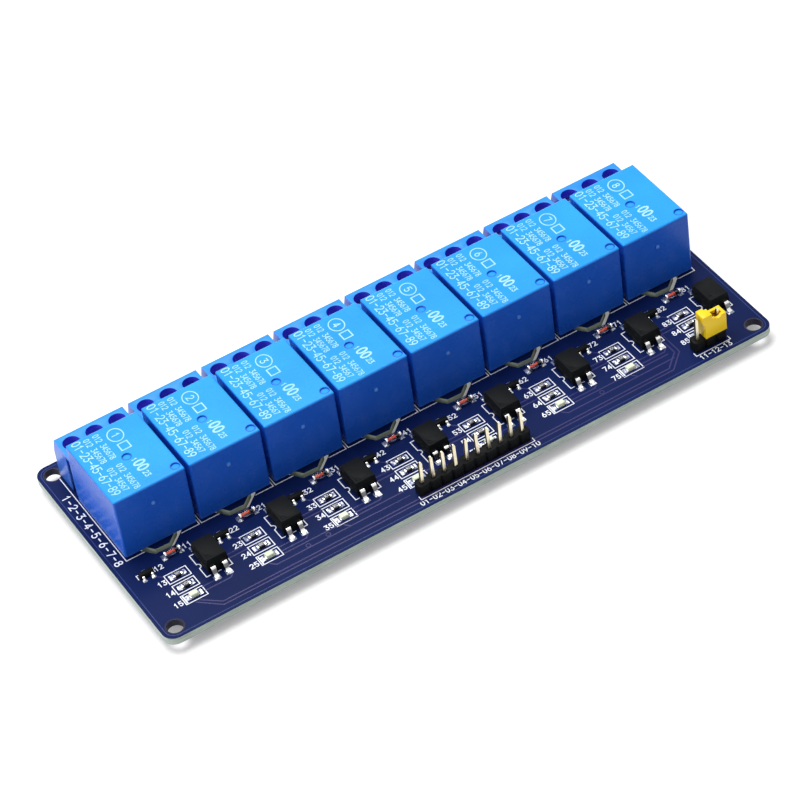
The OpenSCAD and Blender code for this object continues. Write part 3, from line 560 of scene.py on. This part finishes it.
def arc(x, y, rx, ry, start, end, steps=9):
    """Points on an arc from start to end degrees."""
    return [(x + rx * math.cos(math.radians(start + (end - start) * k / steps)),
             y + ry * math.sin(math.radians(start + (end - start) * k / steps)))
            for k in range(steps + 1)]


def rounded_box(half_x, half_y, r, steps):
    """Points round a box about the origin, with rounded corners."""
    points = []
    for sx, sy, a in ((1, -1, -90), (1, 1, 0), (-1, 1, 90), (-1, -1, 180)):
        points += arc(sx * (half_x - r), sy * (half_y - r), r, r, a, a + 90, steps)
    return points


# strokes of the plain figures, in a box from (0, 0) to (1, 1)
NINE = [arc(0.5, 0.69, 0.46, 0.31, -20, 340, 12), [(0.95, 0.62), (0.9, 0.5), (0.4, 0)]]
FIGURES = {
    "0": [arc(0.5, 0.5, 0.48, 0.5, 90, 450, 14)],
    "1": [[(0.22, 0.76), (0.56, 1), (0.56, 0)]],
    "2": [arc(0.5, 0.7, 0.46, 0.3, 165, -25) + [(0.04, 0), (0.98, 0)]],
    "3": [[(0.06, 1), (0.9, 1), (0.42, 0.6)] + arc(0.46, 0.3, 0.5, 0.3, 75, -150)],
    "4": [[(0.98, 0.28), (0.02, 0.28), (0.68, 0.96)], [(0.72, 1), (0.72, 0)]],
    "5": [[(0.92, 1), (0.16, 1), (0.1, 0.55)] + arc(0.46, 0.32, 0.5, 0.32, 115, -145)],
    "6": [[(1 - u, 1 - v) for u, v in stroke] for stroke in NINE],
    "7": [[(0.04, 1), (0.96, 1), (0.36, 0)]],
    "8": [arc(0.5, 0.76, 0.4, 0.24, -90, 270, 12), arc(0.5, 0.26, 0.48, 0.26, 90, 450, 12)],
    "9": NINE,
    "-": [[(0.12, 0.5), (0.88, 0.5)]],
}


def each_channel():
    """Each channel's number, its middle and its relay's front face."""
    for c, x in enumerate(CHANNEL_X, 1):
        yield c, x, RELAY_Y


# ---------------------------------------------------------------- circuit board
def printed_legend():
    """White outlines of the parts, and plain counting figures."""
    s, z, line, figure = Shape(), TOP, 0.2, (1.15, 0.68)
    half = RELAY_W / 2 + 0.2
    for c, x, y in each_channel():
        front, back = y - 0.45, y + RELAY_L - 0.2
        for side, far in ((-1, back + 8.6), (1, back)):
            s.ribbon([(x + side * 4.1, front), (x + side * half, front), (x + side * half, far)],
                     line, z, INK)
        ox, oy, w, d, r = x + OPTO[0], y + OPTO[1], 2.85, OPTO_L / 2 + 0.15, 0.6
        s.ribbon([(ox - w + 1.2, oy + d), (ox - w, oy + d)] + arc(ox - w, oy, r, r, 90, -90, 8)
                 + [(ox - w, oy - d), (ox - w + 0.8, oy - d)], line, z, INK)
        s.ribbon([(ox + w - 1.2, oy + d), (ox + w, oy + d), (ox + w, oy - d),
                  (ox + w - 0.8, oy - d)], line, z, INK)
        s.ribbon([(ox - 0.3, oy - d), (ox + 0.3, oy - d)], line, z, INK)
        tx, ty = x + TRANSISTOR[0], y + TRANSISTOR[1]
        for side in (-1, 1):
            s.ribbon([(tx + side * 1.75, ty - 0.2), (tx + side * 1.75, ty + 0.95),
                      (tx + side * 1.0, ty + 0.95)], line, z, INK)
        cx, w, d = x + CHIP_X, 4.65 / 2, 2.55 / 2
        for cy in CHIP_Y:
            mid = y + cy - 0.02
            s.ribbon([(cx - w, mid - d), (cx + w, mid - d), (cx + w, mid + d), (cx - w, mid + d)],
                     line, z, INK, closed=True)
        lamp_end, ly = cx - 1.95, y + CHIP_Y[2]
        s.ribbon([(lamp_end, ly - 1.0), (lamp_end, ly + 0.95)], 0.3, z, INK)
        for number, place in ((1, (3.35, -3.75)), (2, (-3.9, -5.75)), (3, (-5.35, -9.9)),
                              (4, (-5.35, -13.2)), (5, (-5.45, -16.5))):
            s.write(f"{c}{number}", (x + place[0], y + place[1]), *figure, 0.22, z, pitch=1.0)
    for middle, count, first in ((INPUT_X, INPUT_PINS, 1), (POWER_X, POWER_PINS, 11)):
        w, top, low = count * PIN_PITCH / 2 + 0.25, HEADER_Y - 0.9, HEADER_Y - 1.85
        s.ribbon([(middle - w, top), (middle - w, low), (middle + w, low), (middle + w, top)],
                 line, z, INK)
        text = "-".join(f"{first + k:02d}" for k in range(count))
        s.write(text, (middle - 0.1, HEADER_Y - 2.75), *figure, 0.2, z, pitch=0.94)
    s.write("1-2-3-4-5-6-7-8", (BOARD_LOW.x + 2.1, RELAY_Y + 10.8), 1.6, 1.0, 0.26, z, -90,
            pitch=1.56)
    s.piece("printed_legend", ["silkscreen"], SLOTS["silkscreen"], hides=["silkscreen"])


def copper_lines():
    """Edges of the copper that show through the solder mask as fine lines."""
    s, z, lift, inset = Shape(), TOP, 0.025, 0.75
    s.kind = 1
    s.ribbon(rounded_box(BOARD_HIGH.x - inset, BOARD_HIGH.y - inset, 2, 6), 0.16, z, lift,
             closed=True)
    s.kind = 0
    low = BOARD_LOW.y
    rows = [[(-59.0, low + 6.0), (-55.6, low + 3.0), (45.7, low + 3.0), (49.2, low + 6.2),
             (49.2, low + 17)],
            [(-59.8, low + 5.9), (-55.9, low + 2.15), (46.2, low + 2.15), (50.1, low + 5.8),
             (50.1, low + 17)]]
    for c, x, y in each_channel():
        lamp_x, ox = x + CHIP_X, x + OPTO[0]
        if c < CHANNELS:
            rows.append([(lamp_x + 2.4, y - 15.2), (ox - 1.2, y - 15.2)])
            rows.append([(lamp_x + 2.4, y - 16.4), (ox + 0.9, y - 16.4), (ox + 1.8, y - 15.6)])
            rows.append([(ox + 2.9, y - 10.8), (ox + 6.4, y - 10.8)])
            rows.append([(ox + 2.9, y - 11.9), (ox + 7.2, y - 11.9)])
        rows.append([(x - 5.3, y - 7.6), (x - 4.4, y - 8.4), (x - 4.2, y - 9.2)])
        ahead = {2: 22, 3: 13, 6: 22, 7: 8.5}.get(c)
        if ahead:
            rows.append([(lamp_x - 0.9, y - 17.9), (lamp_x, y - 18.9), (lamp_x + ahead, y - 18.9)])
            rows.append([(lamp_x + 2.6, y - 17.3), (lamp_x + ahead - 0.4, y - 17.3)])
    for row in rows:
        s.ribbon(row, 0.3, z, lift)
    for x, y in ((CHANNEL_X[1] + 5.4, RELAY_Y - 18.3), (CHANNEL_X[1] + 9.9, RELAY_Y - 18.2),
                 (CHANNEL_X[5] + 6.5, RELAY_Y - 18.2)):
        s.ribbon(arc(x, y, 0.45, 0.45, 0, 330, 11), 0.2, z, lift, closed=True)
    s.piece("copper_lines", ["copper_lines", "copper_edges"], SLOTS["circuit_board"])


def hole_linings():
    """The dark ring round each mounting hole on both faces, where the mask stops, and a dark lining
    down its wall that is painted shade.
    """
    s, r = Shape(), HOLE_R
    # on each face a ring at the mask's edge; down the wall, a dark sheet of painted shade
    ring = [(r + 0.26, TOP), (r + 0.22, TOP + 0.03), (r + 0.05, TOP + 0.03),
            (r - 0.06, TOP - 0.08), (r - 0.06, UNDER + 0.08), (r + 0.05, UNDER - 0.03),
            (r + 0.22, UNDER - 0.03), (r + 0.26, UNDER), (r - 0.01, UNDER + 0.01),
            (r - 0.01, TOP - 0.01)]
    for sx in (-1, 1):
        for sy in (-1, 1):
            s.lathe(ring, (sx * HOLE_X, sy * HOLE_Y, 0), "Z", 36, loop=True)
    s.piece("hole_linings", ["hole_ring_painted_shade"], SLOTS["circuit_board"])


def solder_fillets():
    """Solder round the leads' feet and at the chips' and diodes' ends."""
    s, z = Shape(), TOP + PAD / 2
    for c, x, y in each_channel():
        ox, oy = x + OPTO[0], y + OPTO[1]
        for sx in (-1, 1):
            for sy in (-1, 1):
                reach = OPTO_L / 2 + 1.68
                s.blob(ox + sx * OPTO_PITCH / 2, oy + sy * reach, z, 0.6, 0.52, 0.26,
                       -sy * 0.15)
            s.blob(x + TRANSISTOR[0] + sx * 0.95, y + TRANSISTOR[1] - 1.15, z, 0.42, 0.46, 0.3,
                   0.2)
            for row, h in zip(CHIP_Y, (0.36, 0.36, 0.3)):
                s.fillet(x + CHIP_X + sx * (CHIP_L / 2 - 0.03), y + row, z, (sx, 0), 0.5,
                         1.15, h)
            s.fillet(x + sx * (DIODE_L / 2 - 0.05), y + DIODE_Y, z, (sx, 0), 0.5, 1.3, 0.5)
            for sy in (-1, 1):
                s.fillet(x + sx * (DIODE_L / 2 - 0.18), y + DIODE_Y + sy * 0.5, z, (0, sy), 0.35,
                         0.35, 0.35)
        s.blob(x + TRANSISTOR[0], y + TRANSISTOR[1] + 1.15, z, 0.42, 0.46, 0.3, -0.2)
    s.piece("solder_fillets", ["solder"], SLOTS["solder_pads"], smooth=60)


# ---------------------------------------------------------------- driver parts
def bent_leads(name, node, at, pitches, body_half, rise, reach, width, foot, thick):
    """Gull-wing leads: level out of the body, round a bend, nearly upright, then the foot."""
    s = Shape()
    bend = thick * 1.5
    for c, x, y in each_channel():
        for sy, places in pitches:
            for px in places:
                start, out = body_half - 0.15, body_half + reach * 0.32
                down = out + 0.22 * reach
                path = ([(start, rise), (out - bend, rise)]
                        + [(out - bend + bend * math.sin(a), rise - bend + bend * math.cos(a))
                           for a in (0.4, 0.8, 1.2)]
                        + [(out + 0.04, rise - bend * 1.2), (down - 0.05, thick * 2.4)]
                        + [(down + bend * (1 - math.cos(a)), thick * 0.5 + bend * (1 - math.sin(a)))
                           for a in (0.5, 0.9, 1.3)]
                        + [(body_half + reach, thick * 0.5)])
                widths = [width] * 6 + [foot] * (len(path) - 6)

                def put(u, v, h, cx=x + at[0] + px, cy=y + at[1], sy=sy):
                    return (cx + u, cy + sy * v, TOP + PAD + h)

                s.strip(path, widths, thick, put, (4, 5))
    s.piece(name, ["tinned_lead", "lead_shade"], SLOTS[node], hides=[node], smooth=40)


def diodes():
    """Clear glass sleeves, each with a red slug and a black band inside."""
    s, half, r = Shape(), DIODE_L / 2 - 0.32, DIODE_R - 0.03
    for c, x, y in each_channel():
        place = (x, y + DIODE_Y, TOP + PAD + DIODE_R)
        s.kind = 0
        s.lathe([(0.3, -half), (r - 0.12, -half + 0.02), (r, -half + 0.2), (r, half - 0.2),
                 (r - 0.12, half - 0.02), (0.3, half)], place, "X", 28)
        s.kind = 1
        s.lathe([(0.1, -1.24), (0.19, -1.22), (0.22, -1.17), (0.22, 0.5), (0.19, 0.56),
                 (0.1, 0.58)], place, "X", 20)
        s.kind = 2
        s.lathe([(0.1, 0.6), (0.38, 0.62), (0.38, 1.2), (0.1, 1.22)], place, "X", 20)
    s.piece("diode_glass_bodies", ["diode_glass", "diode_slug", "diode_band"],
            SLOTS["diode_bodies"], hides=["diode_bodies"])


def lamps():
    """Indicator chips: a milky lens with sloping sides on a thin white base."""
    s, z = Shape(), TOP + PAD
    levels = ((0.62, 0.62, 0.0), (0.62, 0.62, 0.28), (0.9, 0.62, 0.3), (0.86, 0.58, 0.68),
              (0.78, 0.5, 0.82), (0.6, 0.34, 0.85))
    for c, x, y in each_channel():
        s.rings([[(x + CHIP_X + u, y + CHIP_Y[2] + v, z + h)
                  for u, v in rounded_box(half_x, half_y, 0.12, 3)]
                 for half_x, half_y, h in levels])
    s.piece("lamp_lenses", ["lamp"], SLOTS["led_bodies"], hides=["led_bodies"], smooth=50)


def resistor_marks():
    """Plain figures on the chip resistors."""
    s = Shape()
    for c, x, y in each_channel():
        for k in (0, 1):
            s.write(f"{c}0{k + 1}", (x + CHIP_X, y + CHIP_Y[k]), 0.62, 0.3, 0.07,
                    TOP + PAD + 0.5, pitch=0.36)
    s.piece("resistor_marks", ["silkscreen"], SLOTS["silkscreen"])


# ---------------------------------------------------------------- relays and terminals
def cover_figures():
    """Plain counting figures where the covers are printed."""
    s, z = Shape(), RELAY_TOP
    for c, x, y in each_channel():
        s.write("01-23-45-67-89", (x - 5.95, y + 10.4), 1.75, 0.95, 0.24, z, -90, pitch=1.26)
        for column, groups in ((-3.9, ((17.4, "012"), (13.0, "345678"), (7.6, "012"),
                                       (3.6, "34567"))),
                               (-1.9, ((17.4, "012"), (13.0, "345678"), (7.6, "012"),
                                       (3.2, "345678")))):
            for place, figures in groups:
                s.write(figures, (x + column, y + place), 1.2, 0.58, 0.17, z, -90, pitch=0.8)
        s.ribbon(arc(x + 1.35, y + 16.1, 1.55, 1.85, 0, 348, 31), 0.24, z, INK, closed=True)
        s.write(str(c), (x + 1.35, y + 16.1), 1.5, 0.9, 0.24, z, -90)
        s.ribbon([(x + 0.4, y + 13.5), (x + 2.4, y + 13.5), (x + 2.4, y + 11.5),
                  (x + 0.4, y + 11.5)], 0.28, z, INK, closed=True)
        s.write("00", (x + 1.5, y + 5.9), 2.2, 1.1, 0.42, z, -90, pitch=1.55)
        s.write("1", (x + 1.1, y + 8.0), 1.0, 0.6, 0.2, z, -90)
        s.write("23", (x + 1.3, y + 3.2), 1.1, 0.6, 0.2, z, -90, pitch=0.85)
    s.piece("cover_figures", ["cover_print"], SLOTS["cover_print"], hides=["cover_print"])


def cover_marks():
    """A dark ring of painted shade round each of the two round recesses, and the pale gate mark on
    each front, its paleness a painted highlight.
    """
    s = Shape()
    for c, x, y in each_channel():
        s.kind = 0
        # painted shade: a dark ring on the top round each recess
        for dx, dy in ((0.3, 9.6), (RELAY_W / 2 - 1.3, 1.6)):
            s.ribbon(arc(x + dx, y + dy, 0.95, 0.95, 0, 345, 23), 0.17, RELAY_TOP, 0.012,
                     closed=True)
        # painted highlight: a pale dome on each front's gate mark
        s.kind = 1
        turns = [2 * math.pi * k / 16 for k in range(16)]
        s.rings([[(x + r * math.cos(a), y - GATE_PROUD + d, TOP + 10.6 + r * math.sin(a))
                  for a in turns]
                 for r, d in ((0.42, 0.04), (0.4, -0.02), (0.3, -0.06), (0.22, -0.04),
                              (0.1, -0.02))])
    s.piece("cover_marks", ["dimple_painted_shade", "gate_painted_highlight"], SLOTS["relay_covers"])


def rounded_housings():
    """The terminals, with the walls of their wells painted darker and more violet as shade."""
    def pick(face):
        p = face.calc_center_median() / MM
        inside = any((p.x - w.x) ** 2 + (p.y - w.y) ** 2 < (WELL_R + 0.08) ** 2 for w in WELLS)
        # painted shade: faces inside the wells, below their rim, take the darker colour
        return 1 if inside and p.z < TERMINAL_TOP - 0.1 else 0

    softened("terminal_housings", 0.14, kinds=["terminal_housings", "well"], pick=pick)


def moulded_jumper(bm):
    """Gives the jumper's shell its overhanging grip and the dip in its front wall."""
    low, high = span("jumper_shell")
    body_top = max(v.co.z for v in bm.verts if v.co.x > (high.x - 0.01) * MM) / MM

    def cut(place, way):
        bmesh.ops.bisect_plane(bm, geom=bm.verts[:] + bm.edges[:] + bm.faces[:],
                               plane_co=Vector(place) * MM, plane_no=way, dist=1e-7)

    for z in (body_top - 1.0, body_top - 0.5):
        cut((0, 0, z), (0, 0, 1))
    dip = [low.x + 2.35, low.x + 2.75, low.x + 3.5, low.x + 3.9]
    for x in dip:
        cut((x, 0, 0), (1, 0, 0))
    for v in bm.verts:
        p = v.co / MM
        if abs(p.x - low.x) < 0.01 and p.z > body_top - 0.55:
            v.co.x -= 0.42 * MM
        if p.y < low.y + 0.7 and p.z > body_top - 0.05 and dip[0] + 0.05 < p.x < dip[3] - 0.05:
            v.co.z -= 0.45 * MM


printed_legend()
copper_lines()
hole_linings()
solder_fillets()
bent_leads("optocoupler_leads_bent", "optocoupler_leads", OPTO,
           [(s, (-OPTO_PITCH / 2, OPTO_PITCH / 2)) for s in (-1, 1)],
           OPTO_L / 2, 1.77, 1.85, 0.95, 0.8, 0.25)
bent_leads("transistor_leads_bent", "transistor_leads", TRANSISTOR,
           [(-1, (-0.95, 0.95)), (1, (0,))], 0.65, 0.56, 0.6, 0.42, 0.42, 0.13)
diodes()
lamps()
resistor_marks()
cover_figures()
cover_marks()
rounded_housings()
softened("optocoupler_bodies", 0.09)
softened("transistor_bodies", 0.05)
softened("chip_end_caps", 0.05)
softened("resistor_bodies", 0.04)
softened("header_strips", 0.09)
softened("header_pins", 0.06)
softened("jumper_shell", 0.13, body="jumper", shape=moulded_jumper)
softened("jumper_clip", 0.04, body="jumper")
for c in range(1, CHANNELS + 1):
    for w in range(1, WAYS + 1):
        softened(f"terminal_screw_{c}_{w}", 0.12, body=f"terminal_screw_{c}_{w}")


# ---------------------------------------------------------------- floor, light and camera
def background_rays(tree):
    """1 for rays that see the background: straight on, mirrored or through glass."""
    rays = tree.nodes.new("ShaderNodeLightPath").outputs
    seen = rays["Is Camera Ray"]
    for name in ("Is Glossy Ray", "Is Transmission Ray"):
        either = tree.nodes.new("ShaderNodeMath")
        either.operation = "MAXIMUM"
        tree.links.new(seen, either.inputs[0])
        tree.links.new(rays[name], either.inputs[1])
        seen = either.outputs[0]
    return seen


def stage_floor(size=3.0):
    """A pale floor that shows white to the eye, the more so the farther from the object."""
    n = Nodes("floor_white")
    n.colour(n.mix(n.spread(n.noise(0.01, 2), 0, 1), (0.80, 0.80, 0.80, 1),
                   (0.82, 0.82, 0.82, 1)))
    n.set(Roughness=0.6, Specular_IOR_Level=0.2, Emission_Color=(1, 1, 1, 1))
    away = n.add("ShaderNodeVectorMath", operation="LENGTH")
    n.link(n.coords, away.inputs[0])
    level = n.spread(away.outputs["Value"], 0.26, 0.85, 0.3, 1.0)
    n.link(n.math("MULTIPLY", background_rays(n.tree), level),
           n.shader.inputs["Emission Strength"])
    mesh = bpy.data.meshes.new("studio_floor")
    mesh.from_pydata([(-size, -size, 0), (size, -size, 0), (size, size, 0), (-size, size, 0)],
                     [], [(0, 1, 2, 3)])
    mesh.materials.append(n.material)
    floor = bpy.data.objects.new("studio_floor", mesh)
    floor.location.z = FLOOR_Z
    scene.collection.objects.link(floor)


def studio_world():
    """A white background that lights the object softly."""
    world = bpy.data.worlds.new("studio_world")
    scene.world = world
    world.use_nodes = True
    tree = world.node_tree
    level = tree.nodes.new("ShaderNodeMapRange")
    level.inputs["To Min"].default_value = 0.42
    level.inputs["To Max"].default_value = 1.0
    back = tree.nodes["Background"]
    back.inputs["Color"].default_value = (1, 1, 1, 1)
    tree.links.new(background_rays(tree), level.inputs["Value"])
    tree.links.new(level.outputs["Result"], back.inputs["Strength"])


def softbox(name, place, size, power):
    """A soft lamp that faces the object's middle."""
    light = bpy.data.lights.new(name, "AREA")
    light.shape = "RECTANGLE"
    light.size, light.size_y = size
    light.energy = power
    thing = bpy.data.objects.new(name, light)
    thing.location = place
    thing.rotation_euler = (-Vector(place)).to_track_quat("-Z", "Y").to_euler()
    scene.collection.objects.link(thing)


stage_floor()
studio_world()
softbox("softbox_top", (-0.05, 0.25, 0.75), (0.7, 0.5), 6.4)
softbox("softbox_left", (-0.7, 0.05, 0.3), (0.4, 0.5), 1.8)

# the photograph's viewpoint, fitted to the board's edges and holes
camera = bpy.data.objects.new("camera", bpy.data.cameras.new("camera"))
camera.data.sensor_width = 36
camera.data.lens = 155.45
camera.data.clip_start, camera.data.clip_end = 0.01, 10
ahead = Vector((0.31136, 0.65470, -0.68878)).normalized()
above = Vector((0.43162, 0.54831, 0.71629))
right = ahead.cross(above).normalized()
above = right.cross(ahead)
camera.matrix_world = Matrix.Translation((-0.21239, -0.44414, 0.46937)) @ Matrix(
    (right, above, -ahead)).transposed().to_4x4()
scene.collection.objects.link(camera)
scene.camera = camera
scene.view_settings.view_transform = "Standard"
